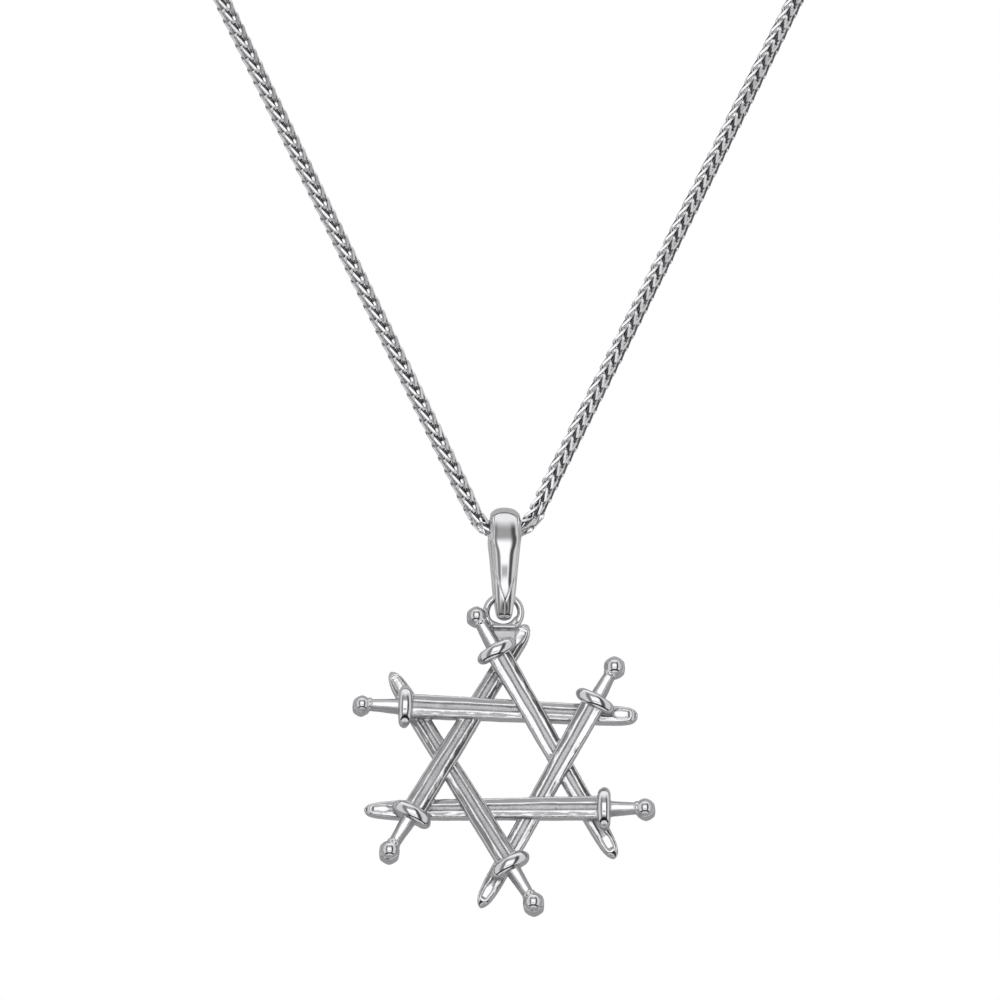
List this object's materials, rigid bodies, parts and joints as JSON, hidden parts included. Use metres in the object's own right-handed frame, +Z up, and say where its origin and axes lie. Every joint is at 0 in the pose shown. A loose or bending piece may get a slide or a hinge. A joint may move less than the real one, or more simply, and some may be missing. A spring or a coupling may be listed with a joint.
{
  "type": "star of david pendant necklace",
  "caption": "Silver star pendant woven from small swords, hanging by its ring from a tapered bail on a fine wheat chain with a barrel clasp.",
  "frame": {"origin": "the middle of the clasp, where the necklace rests on the nape", "axes": "+Z up, +X to the viewer's right; the pendant hangs in front and faces -Y"},
  "size_m": [0.1086, 0.0867, 0.1617],
  "materials": {
    "star_metal": "cast and polished silver with a bright white plating",
    "bail_metal": "polished silver with a bright white plating",
    "chain_metal": "drawn silver wire links, plated bright white",
    "clasp_metal": "turned and polished silver"
  },
  "bodies": {
    "necklace": {"chain": "chain_metal", "clasp": "clasp_metal"},
    "bail": {"bail": "bail_metal"},
    "star": {"star": "star_metal"}
  },
  "joints": [
    {"name": "bail_swing", "type": "hinge", "parent": "necklace", "child": "bail", "pos_m": [0, -0.083, -0.12777], "axis": [0.9976, 0.0698, 0], "range_deg": [-75, 75]},
    {"name": "star_sway", "type": "hinge", "parent": "bail", "child": "star", "pos_m": [0, -0.083, -0.13462], "axis": [0, 1, 0], "range_deg": [-40, 40]}
  ]
}
